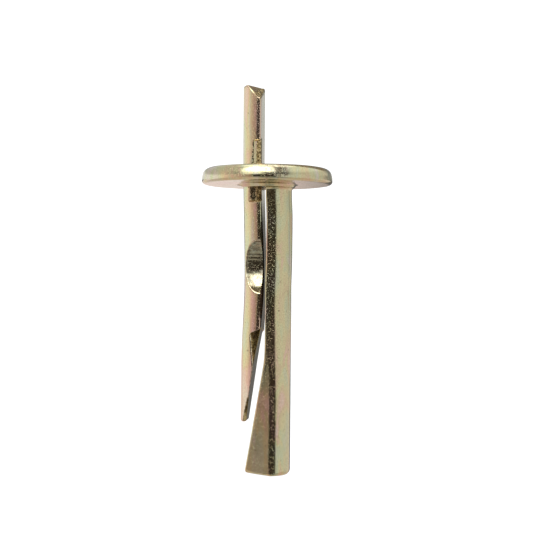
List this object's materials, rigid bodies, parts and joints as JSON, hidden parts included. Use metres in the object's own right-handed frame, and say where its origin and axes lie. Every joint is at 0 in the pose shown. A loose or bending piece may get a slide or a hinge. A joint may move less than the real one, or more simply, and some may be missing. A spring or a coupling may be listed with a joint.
{
  "type": "wall anchor",
  "caption": "Hammer-set wedge anchor: a headed steel body with a wedge, and a loose half-round pin that spreads over the wedge as it is driven.",
  "frame": {"origin": "centre of the head's underside, where the wall's surface or the fixture meets it", "axes": "+Z out of the wall towards the struck side of the head, +X from the pin to the shank, -Y to the front"},
  "size_m": [0.0158, 0.0158, 0.0468],
  "materials": {
    "body_plating": "satin yellow-passivated zinc plating with faint green and pink tints",
    "pin_plating": "satin yellow-passivated zinc plating with faint green and pink tints"
  },
  "bodies": {
    "anchor_body": {"anchor_body": "body_plating"},
    "expansion_pin": {"expansion_pin": "pin_plating"}
  },
  "joints": [
    {"name": "pin_drive", "type": "slide", "parent": "anchor_body", "child": "expansion_pin", "axis": [-0.0549, 0, -0.9985], "range_m": [0, 0.01001]}
  ]
}
